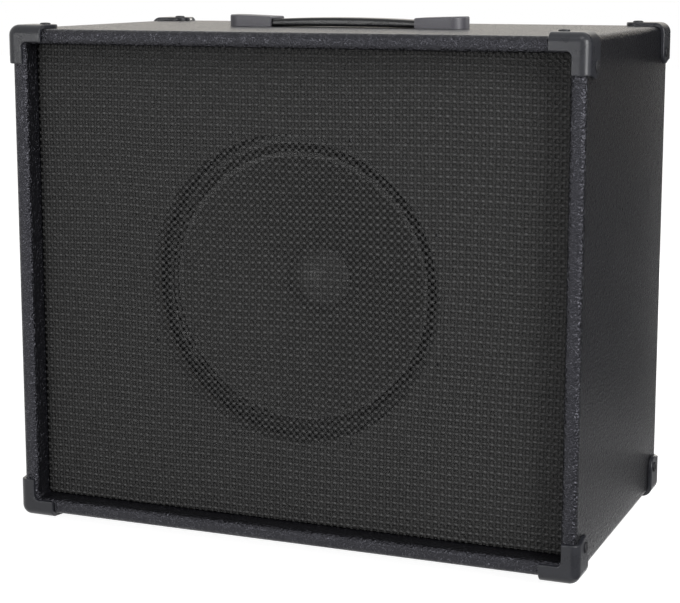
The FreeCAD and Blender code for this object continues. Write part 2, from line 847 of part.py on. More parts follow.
def make_back():
    half_x = opening_x - back_panel_clearance
    low = opening_bottom_z + back_panel_clearance
    high = opening_top_z - back_panel_clearance
    holes = back_pilots + plate_pilots
    jack_hole = rod(jack_cutout_radius, V(0, back_front_y - past, jack_z), V(0, back_face_y + past, jack_z))
    upper = box(-half_x, half_x, back_front_y, back_face_y, high - upper_back_height, high)
    lower = box(-half_x, half_x, back_front_y, back_face_y, low, low + lower_back_height)
    parts["upper_back_panel"] = upper.cut(holes)
    parts["lower_back_panel"] = lower.cut(holes + [jack_hole])
    washers = []
    for seat, into in back_panel_screw_places():
        base = seat + into * cup_washer_height
        cup = Part.makeCone(cup_washer_radius, cup_washer_top_radius, cup_washer_height, base, into * -1)
        washers.append(cup.cut(pilot(seat, into, cup_washer_height + past)))
    parts["cup_washers"] = group(washers)


def hex_prism(across_flats, y0, y1):
    corner = across_flats / math.sqrt(3)
    turns = [math.radians(60 * k) for k in range(6)]
    points = [V(corner * math.cos(a), y0, jack_z + corner * math.sin(a)) for a in turns]
    return polygon_face(points).extrude(V(0, y1 - y0, 0))


def make_jack():
    """Flat steel plate over the panel's round hole, with a moulded jack held by its nut."""
    plate_y = back_face_y + jack_plate_thickness
    plate = box(-jack_plate_width / 2, jack_plate_width / 2, back_face_y, plate_y,
                jack_z - jack_plate_height / 2, jack_z + jack_plate_height / 2)
    plate = plate.makeFillet(jack_plate_corner, edges_along(plate, V(0, 1, 0)))
    nose_hole = rod(jack_nose_radius + jack_nose_clearance, V(0, back_face_y - past, jack_z),
                    V(0, plate_y + past, jack_z))
    parts["jack_plate"] = plate.cut([nose_hole] + plate_pilots)

    body_front = back_face_y - jack_body_length
    nose_end = plate_y + jack_nose_length
    body = box(-jack_body_width / 2, jack_body_width / 2, body_front, back_face_y,
               jack_z - jack_body_height / 2, jack_z + jack_body_height / 2)
    body = body.makeFillet(jack_body_radius, edges_along(body, V(0, 1, 0)))
    nose = rod(jack_nose_radius, V(0, back_face_y, jack_z), V(0, nose_end, jack_z))
    bore = rod(jack_bore_radius, V(0, nose_end - jack_bore_length, jack_z), V(0, nose_end + past, jack_z))
    parts["jack_socket"] = body.fuse(nose).cut(bore)

    nut = hex_prism(jack_nut_across_flats, plate_y, plate_y + jack_nut_thickness)
    parts["jack_nut"] = nut.cut(nose_hole)

    lugs = []
    for side in (-1, 1):
        x = side * jack_lug_spacing / 2
        lugs.append(box(x - jack_lug_thickness / 2, x + jack_lug_thickness / 2,
                        body_front - jack_lug_length, body_front,
                        jack_z - jack_lug_width / 2, jack_z + jack_lug_width / 2))
    parts["jack_lugs"] = group(lugs)


make_back()
make_jack()


# Corner protectors: one moulding, mirrored to all eight corners

def corner_block(proud, reach):
    """The upper right front corner of the covered shell, grown outwards."""
    x1 = shell_width / 2 + proud
    y0 = front_y - proud
    z1 = top_z + proud
    block = box(x1 - reach, x1, y0, y0 + reach, z1 - reach, z1)
    along = [e for e in edges_along(block, V(0, 1, 0))
             if e.BoundBox.XMin > x1 - 1 and e.BoundBox.ZMin > z1 - 1]
    block = block.makeFillet(long_edge_radius + proud, along)
    turn = long_edge_radius + proud + 1
    rim = [e for e in edges_at_y(block, y0) if e.BoundBox.XMin > x1 - turn or e.BoundBox.ZMin > z1 - turn]
    return block.makeFillet(end_edge_radius + proud, rim)


def flange_edges(point):
    """Outline of a side or top flange, with a rounded ear about its screw. point(u, v) places it:
    u runs back from the front edge and v runs in from the long edge."""
    ear_u = corner_flange_depth - corner_ear_radius
    start_u = end_edge_radius + corner_rim_radius
    du, dv = ear_u - start_u, corner_ear_height - corner_leg
    reach = math.hypot(du, dv)
    heading = math.atan2(dv, du) + math.asin(corner_ear_radius / reach)
    run = math.sqrt(reach ** 2 - corner_ear_radius ** 2)
    touch_u = start_u + run * math.cos(heading)
    touch_v = corner_leg + run * math.sin(heading)
    middle = (heading + math.pi / 2) / 2
    touch = point(touch_u, touch_v)
    crown = point(ear_u + corner_ear_radius * math.cos(middle),
                  corner_ear_height + corner_ear_radius * math.sin(middle))
    rear = point(corner_flange_depth, corner_ear_height)
    return [
        line(point(-past, -past), point(-past, corner_leg)),
        line(point(-past, corner_leg), point(start_u, corner_leg)),
        line(point(start_u, corner_leg), touch),
        arc(touch, crown, rear),
        line(rear, point(corner_flange_depth, -past)),
        line(point(corner_flange_depth, -past), point(-past, -past)),
    ]


def front_leg_edges(point):
    """Outline of the L on the front edge. point(a, b) runs in from the side and down from the top."""
    w = corner_leg_width
    r = corner_inner_radius
    diagonal = w + r - r * math.sqrt(0.5)
    return [
        line(point(-past, -past), point(corner_leg, -past)),
        line(point(corner_leg, -past), point(corner_leg, w)),
        line(point(corner_leg, w), point(w + r, w)),
        arc(point(w + r, w), point(diagonal, diagonal), point(w, w + r)),
        line(point(w, w + r), point(w, corner_leg)),
        line(point(w, corner_leg), point(-past, corner_leg)),
        line(point(-past, corner_leg), point(-past, -past)),
    ]


def outer_rim(shape, outer):
    """Sharp edges of a shape that lie on the surface of the block it was cut from."""
    surface = outer.Shells[0]
    rim = []
    for edge in shape.Edges:
        middle = edge.valueAt((edge.FirstParameter + edge.LastParameter) / 2)
        if surface.distToShape(Part.Vertex(middle))[0] < 1e-4:
            sides = shape.ancestorsOfType(edge, Part.Face)
            normals = [side.normalAt(*side.Surface.parameter(middle)) for side in sides]
            if len(normals) == 2 and normals[0].getAngle(normals[1]) > sharp_angle:
                rim.append(edge)
    return rim


def make_corners():
    side_x = shell_width / 2
    wrap = long_edge_radius + corner_rim_radius
    end_wrap = end_edge_radius + corner_rim_radius
    reach = corner_leg + corner_flange_depth
    proud = corner_gap + corner_thickness
    block = corner_block(proud, reach)
    layer = block.cut(corner_block(corner_gap, reach + past))
    side = face_of(flange_edges(lambda u, v: V(side_x - wrap, front_y + u, top_z - v)))
    flat = face_of(flange_edges(lambda u, v: V(side_x - v, front_y + u, top_z - wrap)))
    legs = face_of(front_leg_edges(lambda a, b: V(side_x - a, front_y - past, top_z - b)))
    trims = side.extrude(V(wrap + past, 0, 0)).fuse([
        flat.extrude(V(0, 0, wrap + past)),
        legs.extrude(V(0, end_wrap + past, 0)),
    ])
    moulding = layer.common(trims)
    moulding = moulding.makeFillet(corner_rim_radius, outer_rim(moulding, block))
    up = {-1: "bottom", 1: "top"}
    deep = {-1: "front", 1: "rear"}
    across = {-1: "left", 1: "right"}
    for sx, sy, sz in corner_signs():
        piece = moulding
        if sx < 0:
            piece = piece.mirror(V(0, 0, 0), V(1, 0, 0))
        if sy > 0:
            piece = piece.mirror(V(0, 0, 0), V(0, 1, 0))
        if sz < 0:
            piece = piece.mirror(V(0, 0, middle_z), V(0, 0, 1))
        name = "corner_" + deep[sy] + "_" + up[sz] + "_" + across[sx]
        parts[name] = drilled(piece, corner_pilots)


make_corners()


# Strap handle: two end caps, a moulded strap on a spring steel core

def strap_profile(end_x, low, high, width):
    """A band bowed up in the middle, drawn between two heights at its ends."""
    inner_x = handle_length / 2 - handle_cap_length
    edges = []
    for z in (low, high):
        edges.append(line(V(-end_x, 0, z), V(-inner_x, 0, z)))
        edges.append(arc(V(-inner_x, 0, z), V(0, 0, z + strap_bow), V(inner_x, 0, z)))
        edges.append(line(V(inner_x, 0, z), V(end_x, 0, z)))
    for x in (-end_x, end_x):
        edges.append(line(V(x, 0, low), V(x, 0, high)))
    band = face_of(edges).extrude(V(0, width, 0))
    band.translate(V(0, -width / 2, 0))
    return band


def screw_slot(half_play, z0, z1):
    """Long holes that let the strap ends slide past the cap screws."""
    radius = screw_shank_radius + strap_slot_clearance
    slots = []
    for seat, into in handle_screw_places():
        x = seat.x
        slots.append(box(x - half_play, x + half_play, -radius, radius, z0, z1))
        slots += [rod(radius, V(x + d, 0, z0), V(x + d, 0, z1)) for d in (-half_play, half_play)]
    return slots


def make_handle():
    low = top_z + strap_lift
    high = low + strap_thickness
    inner_x = handle_length / 2 - handle_cap_length
    end_x = handle_length / 2 - handle_cap_end_wall - strap_end_play
    slots = screw_slot(strap_screw_play, top_z - past, top_z + handle_cap_height + past)
    core_low = (low + high - strap_core_thickness) / 2
    core_high = core_low + strap_core_thickness
    core = strap_profile(end_x - handle_cap_wall, core_low, core_high, strap_core_width)
    c = strap_core_clearance
    pocket = strap_profile(end_x - handle_cap_wall + c, core_low - c, core_high + c, strap_core_width + 2 * c)
    strap = strap_profile(end_x, low, high, strap_width)
    half = strap_width / 2
    long_edges = [e for e in strap.Edges
                  if abs(e.BoundBox.YMin - e.BoundBox.YMax) < 1e-6
                  and abs(abs(e.BoundBox.YMin) - half) < 1e-6 and e.BoundBox.XLength > 1]
    strap = strap.makeFillet(strap_edge_radius, long_edges)
    parts["handle_strap"] = strap.cut([pocket] + slots)
    parts["handle_strap_core"] = core.cut(slots)

    room = box(inner_x - past, handle_length / 2 - handle_cap_end_wall,
               -half - strap_slot_clearance, half + strap_slot_clearance,
               top_z - past, high + strap_slot_clearance)
    cap = polygon_face([
        V(inner_x, -handle_cap_width / 2, top_z),
        V(handle_length / 2, -handle_cap_width / 2, top_z),
        V(handle_length / 2, -handle_cap_width / 2, top_z + handle_cap_height),
        V(inner_x, -handle_cap_width / 2, top_z + handle_cap_inner_height),
    ]).extrude(V(0, handle_cap_width, 0))
    outer = [e for e in edges_along(cap, V(0, 0, 1)) if e.BoundBox.XMin > handle_length / 2 - 1]
    cap = cap.makeFillet(handle_cap_radius, outer)
    rim = [e for e in cap.Edges if e.BoundBox.ZMin > top_z + handle_cap_inner_height - 1e-6]
    cap = cap.makeFillet(handle_cap_wall - handle_cap_wall / 4, rim)
    seat = handle_screw_places()[1][0]
    recess = rod(handle_screw_recess_radius, seat, seat + V(0, 0, handle_cap_height))
    cap = cap.cut([room, recess])
    parts["handle_end_cap_right"] = drilled(cap, handle_pilots)
    parts["handle_end_cap_left"] = drilled(cap.mirror(V(0, 0, 0), V(1, 0, 0)), handle_pilots)


make_handle()


# Rubber feet, each with a recess for its screw

def make_feet():
    tread = foot_radius - foot_taper
    outline = [
        V(foot_recess_radius, 0, 0),
        V(tread - foot_bevel, 0, 0),
        V(tread, 0, foot_bevel),
        V(foot_radius, 0, foot_height),
        V(0, 0, foot_height),
        V(0, 0, foot_recess_depth),
        V(foot_recess_radius, 0, foot_recess_depth),
    ]
    foot = spun(polygon_face(outline), V(0, 0, 0), V(0, 0, 1))
    for name, centre in foot_centres().items():
        parts[name] = drilled(foot.translated(centre), foot_pilots)


make_feet()

os.makedirs("parts", exist_ok=True)
for name, shape in parts.items():
    shape.exportStep("parts/" + name + ".step")
print(len(parts), "parts")
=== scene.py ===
import math

import bmesh
import bpy
from mathutils import Matrix, Vector


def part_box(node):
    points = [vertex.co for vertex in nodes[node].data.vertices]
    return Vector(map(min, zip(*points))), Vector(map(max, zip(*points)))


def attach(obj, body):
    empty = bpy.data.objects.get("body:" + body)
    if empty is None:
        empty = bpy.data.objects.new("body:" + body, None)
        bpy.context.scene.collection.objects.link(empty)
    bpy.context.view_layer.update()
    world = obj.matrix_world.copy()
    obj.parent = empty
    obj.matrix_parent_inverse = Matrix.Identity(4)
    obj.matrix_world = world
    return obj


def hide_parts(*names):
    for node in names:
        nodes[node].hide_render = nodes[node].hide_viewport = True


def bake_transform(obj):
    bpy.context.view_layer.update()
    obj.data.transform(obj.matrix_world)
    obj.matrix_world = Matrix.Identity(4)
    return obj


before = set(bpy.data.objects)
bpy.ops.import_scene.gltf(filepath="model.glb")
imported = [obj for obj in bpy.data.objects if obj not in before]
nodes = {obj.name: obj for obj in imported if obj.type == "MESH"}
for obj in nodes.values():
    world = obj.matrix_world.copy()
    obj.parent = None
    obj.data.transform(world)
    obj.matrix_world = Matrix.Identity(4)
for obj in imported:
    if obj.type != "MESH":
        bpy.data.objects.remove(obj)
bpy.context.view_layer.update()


# Shell boards: four plywood panels, finger jointed at the corners and glued.
# They are bare inside, where the open back shows them, and the covering hides the rest.


def wire(value, socket):
    """Gives a socket a plain value or another node's output."""
    if isinstance(value, bpy.types.NodeSocket):
        socket.id_data.links.new(value, socket)
    else:
        socket.default_value = value


def give(finish, name, value):
    """Gives an input of a finish's main shader a plain value or a node's output."""
    wire(value, finish.node_tree.nodes["Principled BSDF"].inputs[name])


def new_finish(name, colour, roughness):
    """A material with one main shader."""
    finish = bpy.data.materials.new(name)
    finish.use_nodes = True
    give(finish, "Base Color", (*colour, 1))
    give(finish, "Roughness", roughness)
    return finish


def pattern(finish, kind, output, inputs, **settings):
    """Adds a node with its settings and inputs, and returns one of its outputs."""
    node = finish.node_tree.nodes.new("ShaderNode" + kind)
    for name, value in settings.items():
        setattr(node, name, value)
    for name, value in inputs.items():
        wire(value, node.inputs[name])
    return node.outputs[output]


def calc(finish, operation, *values):
    """The result of one sum on plain values and nodes' outputs."""
    return pattern(finish, "Math", 0, dict(enumerate(values)), operation=operation)


def place(finish, scale=(1, 1, 1)):
    """Where a point lies on the object, in metres, drawn out or in along each axis."""
    spot = pattern(finish, "TexCoord", "Object", {})
    return pattern(finish, "Mapping", "Vector", {"Vector": spot, "Scale": scale})


def noise(finish, spot, scale, detail):
    """A cloudy share, finer with a larger scale and rougher with more detail."""
    return pattern(finish, "TexNoise", "Fac", {"Vector": spot, "Scale": scale, "Detail": detail})


def between(finish, share, low, high):
    """A number that runs from low to high with a share."""
    return pattern(finish, "MapRange", "Result", {"Value": share, "To Min": low, "To Max": high})


def tint(finish, share, low, high):
    """Colours a finish from one tone to another with a share."""
    inputs = {0: share, 6: (*low, 1), 7: (*high, 1)}
    give(finish, "Base Color", pattern(finish, "Mix", 2, inputs, data_type="RGBA"))


def raise_surface(finish, height, depth):
    """Bumps a finish by a height pattern that is depth metres from low to high."""
    give(finish, "Normal", pattern(finish, "Bump", "Normal", {"Height": height, "Distance": depth}))


def dress(finish, *names):
    """Puts a finish on solids that keep their shape."""
    for name in names:
        for slot in nodes[name].material_slots:
            slot.material = finish


def wood_finish(name, pale, dark, grain, roughness):
    """Wood with streaks along one way, and finer pores that lie with them."""
    finish = new_finish(name, pale, roughness)
    streaks = noise(finish, place(finish, grain), 1.0, 6.0)
    pores = noise(finish, place(finish, tuple(4 * scale for scale in grain)), 1.0, 3.0)
    figure = calc(finish, "MULTIPLY_ADD", pores, 0.35, calc(finish, "MULTIPLY", streaks, 0.8))
    tint(finish, between(finish, figure, -0.35, 1.2), dark, pale)
    give(finish, "Roughness", between(finish, pores, roughness - 0.12, roughness + 0.12))
    raise_surface(finish, pores, 0.0003)
    return finish


ply_pale = (0.62, 0.46, 0.29)
ply_dark = (0.36, 0.24, 0.13)
plywood = wood_finish("plywood", ply_pale, ply_dark, grain=(260, 7, 260), roughness=0.62)
dress(plywood, "top_panel", "bottom_panel", "left_side_panel", "right_side_panel")


# Battens: sawn pine strips glued inside the shell, one frame behind the baffle
# and one that the back panels screw to.

pine_pale = (0.70, 0.53, 0.32)
pine_dark = (0.45, 0.30, 0.15)
pine_upright = wood_finish("pine_upright", pine_pale, pine_dark, grain=(300, 300, 9), roughness=0.7)
pine_level = wood_finish("pine_level", pine_pale, pine_dark, grain=(9, 300, 300), roughness=0.7)
for end in ("front", "rear"):
    dress(pine_upright, end + "_cleat_left", end + "_cleat_right")
    dress(pine_level, end + "_cleat_top", end + "_cleat_bottom")


# Covering: black vinyl with a coarse leather grain of pebbles and wrinkles, glued over the shell
# and turned in over the front and rear edges, where handling has rubbed the grain shinier. Its colour
# has painted shade in the grain's valleys and painted highlight on its pebble tops, paler still at those
# edges.

grain_size = 0.0044
grain_depth = 0.0007
crease_weight = 0.45
pore_weight = 0.02
rub_and_highlight_from = 0.147
rub_and_highlight_to = 0.153
unhighlit_dome_share = 0.45
rubbed_shine = 0.07


def step(finish, value, start, end):
    """A share that rises smoothly from 0 at start to 1 at end."""
    inputs = {"Value": value, "From Min": start, "From Max": end}
    return pattern(finish, "MapRange", "Result", inputs, interpolation_type="SMOOTHSTEP")


def coordinate(finish, spot, axis):
    """One of the three coordinates of a spot."""
    return pattern(finish, "SeparateXYZ", axis, {0: spot})


vinyl = new_finish("vinyl", (0.016, 0.016, 0.019), 0.36)
spot = place(vinyl)
wander = pattern(vinyl, "TexNoise", "Color", {"Vector": spot, "Scale": 0.6 / grain_size, "Detail": 2.0})
bent = {0: wander, 1: (1.1 * grain_size,) * 3, 2: spot}
warped = pattern(vinyl, "VectorMath", 0, bent, operation="MULTIPLY_ADD")
cells = {"Vector": warped, "Scale": 1 / grain_size}
inward = pattern(vinyl, "TexVoronoi", "Distance", cells, feature="DISTANCE_TO_EDGE")
pebbles = step(vinyl, inward, 0.0, 0.5)
folds = calc(vinyl, "SUBTRACT", noise(vinyl, warped, 1.5 / grain_size, 3.0), 0.5)
creases = step(vinyl, calc(vinyl, "ABSOLUTE", folds), 0.0, 0.2)
pores = noise(vinyl, spot, 1500.0, 2.0)
grain = calc(vinyl, "MULTIPLY_ADD", pores, pore_weight, pebbles)
grain = calc(vinyl, "MULTIPLY_ADD", creases, crease_weight, grain)
raise_surface(vinyl, grain, grain_depth)
from_middle = calc(vinyl, "ABSOLUTE", coordinate(vinyl, spot, "Y"))
rubbed_and_highlit = step(vinyl, from_middle, rub_and_highlight_from, rub_and_highlight_to)
# Painted light: the grain's colour is painted dark in the valleys and creases as shade and pale on the
# pebble tops as highlight, and paler still along the front and rear edges as their highlight.
painted_grain_light = calc(vinyl, "MULTIPLY", pebbles, creases)
painted_grain_light = calc(vinyl, "MULTIPLY", painted_grain_light, between(vinyl, rubbed_and_highlit, unhighlit_dome_share, 1.0))
tint(vinyl, painted_grain_light, (0.004, 0.004, 0.005), (0.034, 0.034, 0.040))
shine = calc(vinyl, "MULTIPLY", rubbed_and_highlit, rubbed_shine)
give(vinyl, "Roughness", calc(vinyl, "SUBTRACT", between(vinyl, pores, 0.22, 0.36), shine))
give(vinyl, "Specular Tint", (0.88, 0.88, 1, 1))
give(vinyl, "Specular IOR Level", 0.35)
dress(vinyl, "vinyl_covering")


# Baffle: plywood with one thin coat of flat black, with the round cut-out for the loudspeaker.
# It is pulled against the front battens by wood screws from behind.

def mottled(name, low, high, roughness, scale, detail, stretch=(1, 1, 1), bump=0.0, metallic=0.0):
    """A finish whose tone and relief follow one noise, and its dullness too if roughness is a pair."""
    dull, duller = roughness if isinstance(roughness, tuple) else (roughness, roughness)
    finish = new_finish(name, [(a + b) / 2 for a, b in zip(low, high)], (dull + duller) / 2)
    cloud = noise(finish, place(finish, stretch), scale, detail)
    tint(finish, cloud, low, high)
    if duller > dull:
        give(finish, "Roughness", between(finish, cloud, dull, duller))
    if bump:
        raise_surface(finish, cloud, bump)
    give(finish, "Metallic", metallic)
    return finish


thin_black = mottled("thin_black", (0.032, 0.0315, 0.031), (0.075, 0.0736, 0.0722),
                     roughness=0.85, scale=700.0, detail=4.0, bump=0.0003)
dress(thin_black, "baffle_board")


# Wood screws: pan heads with a cross recess, pressed from wire. The ones behind the baffle
# are bright zinc and pull it against the battens.

scene = bpy.context.scene
shank_radius = 0.0019
head_height = 0.0016
head_sides = 32
flat_share = 0.42
wall_share = 0.35
rim_share = 0.45
recess_taper = 0.45
turn_between_screws = math.radians(37)


def bridge(bm, loops):
    """Joins each closed loop of points to the next one with faces. A loop may be a single point."""
    for here, there in zip(loops, loops[1:]):
        for k in range(max(len(here), len(there))):
            n = k + 1
            edge = [here[k % len(here)], here[n % len(here)]]
            next_edge = [there[n % len(there)], there[k % len(there)]]
            bm.faces.new(list(dict.fromkeys(edge + next_edge)))


def spin(bm, profile, steps):
    """Turns a list of radii and heights about Z into a skin."""
    loops = []
    for radius, height in profile:
        turns = [2 * math.pi * k / steps for k in range(steps)] if radius else [0.0]
        loops.append([bm.verts.new((radius * math.cos(a), radius * math.sin(a), height)) for a in turns])
    bridge(bm, loops)


def new_piece(name, bm, finish, sharp=math.radians(35)):
    """Makes a shaded object from a mesh in the making."""
    bmesh.ops.recalc_face_normals(bm, faces=bm.faces)
    mesh = bpy.data.meshes.new(name)
    bm.to_mesh(mesh)
    bm.free()
    mesh.materials.append(finish)
    mesh.shade_smooth()
    mesh.set_sharp_from_angle(angle=sharp)
    piece = bpy.data.objects.new(name, mesh)
    scene.collection.objects.link(piece)
    return piece


def shaped_mesh(piece):
    """The mesh of a piece with its modifiers or its curve worked out."""
    return bpy.data.meshes.new_from_object(piece.evaluated_get(bpy.context.evaluated_depsgraph_get()))


def solids_of(node):
    """Corner points of each separate solid of a node, as one list of points per solid."""
    bm = bmesh.new()
    bm.from_mesh(nodes[node].data)
    bmesh.ops.remove_doubles(bm, verts=bm.verts, dist=1e-6)
    left = dict.fromkeys(bm.verts)
    groups = []
    while left:
        reached = [left.popitem()[0]]
        for vert in reached:
            for edge in vert.link_edges:
                other = edge.other_vert(vert)
                if other in left:
                    del left[other]
                    reached.append(other)
        groups.append([vert.co.copy() for vert in reached])
    bm.free()
    return groups


def span(points):
    """Lowest and highest corner of some points."""
    low = Vector([min(p[k] for p in points) for k in range(3)])
    high = Vector([max(p[k] for p in points) for k in range(3)])
    return low, high


def cut_cross(head, width, reach, depth):
    """Presses a tapered cross into the top of a screw head and returns the finished mesh."""
    top = max(vert.co.z for vert in head.data.vertices)
    clear = top + 0.3 * depth
    cutters = []
    for size_x, size_y in ((reach, width), (width, reach)):
        bm = bmesh.new()
        for vert in bmesh.ops.create_cube(bm, size=1.0)["verts"]:
            taper, height = (1.0, clear) if vert.co.z > 0 else (recess_taper, top - depth)
            vert.co = (vert.co.x * size_x * taper, vert.co.y * size_y * taper, height)
        cutters.append(new_piece("recess", bm, head.data.materials[0]))
        cut = head.modifiers.new("recess", "BOOLEAN")
        cut.object = cutters[-1]
        cut.solver = "EXACT"
    pressed = shaped_mesh(head)
    for gone in (head, *cutters):
        bpy.data.objects.remove(gone)
    return pressed


def pan_head_screw(finish, whole_length, head_radius):
    """One screw along Z with its head uppermost and its seat at the origin."""
    dome = []
    for k in range(1, 6):
        a = math.radians(15 * k)
        dome.append((head_radius * (flat_share + (1 - flat_share) * math.sin(a)),
                     head_height * (wall_share + (1 - wall_share) * math.cos(a))))
    point = whole_length - head_height
    profile = [(0, head_height), *dome, (head_radius, 0.25 * head_height), (0.97 * head_radius, 0),
               (shank_radius, 0), (shank_radius, -0.75 * point), (0, -point)]
    bm = bmesh.new()
    spin(bm, profile, head_sides)
    screw = new_piece("screw", bm, finish)
    return cut_cross(screw, width=0.30 * head_radius, reach=1.15 * head_radius, depth=0.62 * head_height)


def drive_screws(node, finish):
    """Puts a finished screw where each plain screw of a node is, and stands for that node."""
    made = {}
    bm = bmesh.new()
    for number, points in enumerate(solids_of(node)):
        low, high = span(points)
        size = high - low
        middle = (low + high) / 2
        axis = max(range(3), key=lambda k: size[k])
        across = axis - 1
        rim = [p[axis] for p in points if abs((p - middle)[across]) > rim_share * size[across]]
        outward = Vector((0, 0, 0))
        outward[axis] = 1 if sum(rim) / len(rim) > middle[axis] else -1
        length = round(size[axis], 4)
        if length not in made:
            made[length] = pan_head_screw(finish, length, size[across] / 2)
        seat = middle + outward * (length / 2 - head_height)
        before = len(bm.verts)
        bm.from_mesh(made[length])
        bm.verts.ensure_lookup_table()
        driven = Matrix.Translation(seat) @ outward.to_track_quat("Z", "Y").to_matrix().to_4x4()
        driven = driven @ Matrix.Rotation(number * turn_between_screws, 4, "Z")
        bmesh.ops.transform(bm, matrix=driven, verts=bm.verts[before:])
    screws = new_piece(node + "_driven", bm, finish, sharp=math.radians(30))
    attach(screws, "cabinet")
    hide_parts(node)


zinc = mottled("zinc", (0.44, 0.45, 0.47), (0.68, 0.68, 0.66),
               roughness=(0.22, 0.45), scale=220.0, detail=4.0, metallic=1.0)
drive_screws("baffle_screws", zinc)


# Grille cloth: coarse black weave of coated yarn, with open holes set like the spots of a five and
# a weft yarn floating over every other row, its float painted bright as a highlight. It is stretched over
# the baffle and stapled behind it.

cloth_low, cloth_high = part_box("grille_cloth")
cloth_return = 0.0232
fold_radius = 0.001
corner_radius = 0.0033
corner_turns = 4
mesh_step = 0.006
cloth_sag = 0.0006
cutout_radius = 0.1405
weave_repeat = 0.0064
weave_depth = 0.0009
weave_drift = 9.0
yarn_sharpness = 2.6
warp_height_and_highlight_share = 0.5
gap_from = 0.06
gap_to = 0.30
yarn_cover = 0.90
gap_cover = 0.20


def rounded_loop(half_x, half_z, middle_z, radius, across, up):
    """Points round a rectangle with rounded corners, the same count on every loop."""
    centres = [(half_x, half_z, 0), (-half_x, half_z, 90), (-half_x, -half_z, 180), (half_x, -half_z, 270)]
    points = []
    for (x, z, start), (nx, nz, _), count in zip(centres, centres[1:] + centres[:1], (across, up) * 2):
        for k in range(corner_turns + 1):
            a = math.radians(start + 90 * k / corner_turns)
            points.append((x + radius * math.cos(a), middle_z + z + radius * math.sin(a)))
        a = math.radians(start + 90)
        for k in range(1, count):
            share = k / count
            points.append((x + (nx - x) * share + radius * math.cos(a),
                           middle_z + z + (nz - z) * share + radius * math.sin(a)))
    return points


def stretch_cloth():
    """One sheet: the flat front, round the edges, and the returns behind."""
    front, back = cloth_low.y, cloth_high.y
    middle = (cloth_low.z + cloth_high.z) / 2
    half_x = cloth_high.x - corner_radius
    half_z = (cloth_high.z - cloth_low.z) / 2 - corner_radius
    across = round(2 * half_x / mesh_step)
    up = round(2 * half_z / mesh_step)
    bm = bmesh.new()
    for i in range(across):
        for j in range(up):
            corners = []
            for di, dj in ((0, 0), (1, 0), (1, 1), (0, 1)):
                x = half_x * (2 * (i + di) / across - 1)
                z = half_z * (2 * (j + dj) / up - 1)
                hollow = max(0.0, 1 - math.hypot(x, z) / cutout_radius)
                sag = cloth_sag * hollow * hollow * (3 - 2 * hollow)
                corners.append(bm.verts.new((x, front + sag, middle + z)))
            bm.faces.new(corners)
    r, f = corner_radius, fold_radius
    bevel = f * (1 - math.sqrt(0.5))
    wrap = [(0, front), (r - f, front), (r - bevel, front + bevel), (r, front + f), (r, back - f),
            (r - bevel, back - bevel), (r - f, back), (0, back), (r - cloth_return, back)]
    loops = []
    for offset, y in wrap:
        drawn_in = min(0.0, offset)
        outline = rounded_loop(half_x + drawn_in, half_z + drawn_in, middle, max(0.0, offset), across, up)
        loops.append([bm.verts.new((x, y, z)) for x, z in outline])
    bridge(bm, loops)
    bmesh.ops.remove_doubles(bm, verts=bm.verts, dist=1e-6)
    bmesh.ops.dissolve_degenerate(bm, edges=bm.edges, dist=1e-7)
    return bm


def halves(finish, wave):
    """Shares of a wave that runs from -1 to 1: how near it is to its crest and to its trough."""
    crest = calc(finish, "MULTIPLY_ADD", wave, 0.5, 0.5)
    return crest, calc(finish, "SUBTRACT", 1.0, crest)


weave = new_finish("weave", (0.03, 0.03, 0.031), 0.5)
drift = pattern(weave, "TexNoise", "Color", {"Vector": place(weave), "Scale": 5.0, "Detail": 2.0})
drawn = {0: drift, 1: (weave_drift,) * 3, 2: place(weave, (2 * math.pi / weave_repeat,) * 3)}
spot = pattern(weave, "VectorMath", 0, drawn, operation="MULTIPLY_ADD")
across = calc(weave, "COSINE", coordinate(weave, spot, "X"))
upward = calc(weave, "COSINE", coordinate(weave, spot, "Z"))
gap = step(weave, calc(weave, "MULTIPLY", across, upward), gap_from, gap_to)
on_warp, off_warp = halves(weave, across)
on_weft, off_weft = halves(weave, upward)
weft_float = calc(weave, "MULTIPLY", off_warp, calc(weave, "POWER", on_weft, yarn_sharpness))
warp_float = calc(weave, "MULTIPLY", off_weft, calc(weave, "POWER", on_warp, yarn_sharpness))
yarn_height_and_highlight = calc(weave, "MULTIPLY_ADD", warp_float, warp_height_and_highlight_share, weft_float)
fuzz = noise(weave, place(weave), 1400.0, 2.0)
slubs = between(weave, noise(weave, place(weave), 240.0, 2.0), 0.35, 1.65)
# Painted light: the yarn floats are painted bright as their highlight, and the yarn where it dips under is
# painted near black as shade.
tint(weave, calc(weave, "MULTIPLY", yarn_height_and_highlight, slubs), (0.002, 0.002, 0.002), (0.084, 0.084, 0.0844))
raise_surface(weave, calc(weave, "MULTIPLY_ADD", fuzz, 0.15, yarn_height_and_highlight), weave_depth)
give(weave, "Roughness", between(weave, fuzz, 0.36, 0.56))
give(weave, "Specular IOR Level", 0.12)
give(weave, "Alpha", between(weave, gap, yarn_cover, gap_cover))

cloth = new_piece("stretched_grille_cloth", stretch_cloth(), weave)
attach(cloth, "cabinet")
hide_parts("grille_cloth")


# Loudspeaker frame: a steel pressing painted black, on a fibre gasket, held by machine bolts
# that run into tee nuts pressed into the front of the baffle and painted over with it.

basket_paint = mottled("basket_paint", (0.020, 0.020, 0.021), (0.040, 0.040, 0.042),
                       roughness=(0.25, 0.45), scale=420.0, detail=3.0, bump=0.00015)
dress(basket_paint, "speaker_basket")

fibre = mottled("fibre", (0.02, 0.018, 0.016), (0.09, 0.08, 0.07),
                roughness=0.9, scale=900.0, detail=5.0, bump=0.0003)
dress(fibre, "speaker_gasket")

black_oxide = mottled("black_oxide", (0.012, 0.012, 0.013), (0.05, 0.05, 0.054),
                      roughness=(0.28, 0.5), scale=500.0, detail=4.0, metallic=0.6)
dress(black_oxide, "speaker_bolts")
dress(thin_black, "tee_nuts")


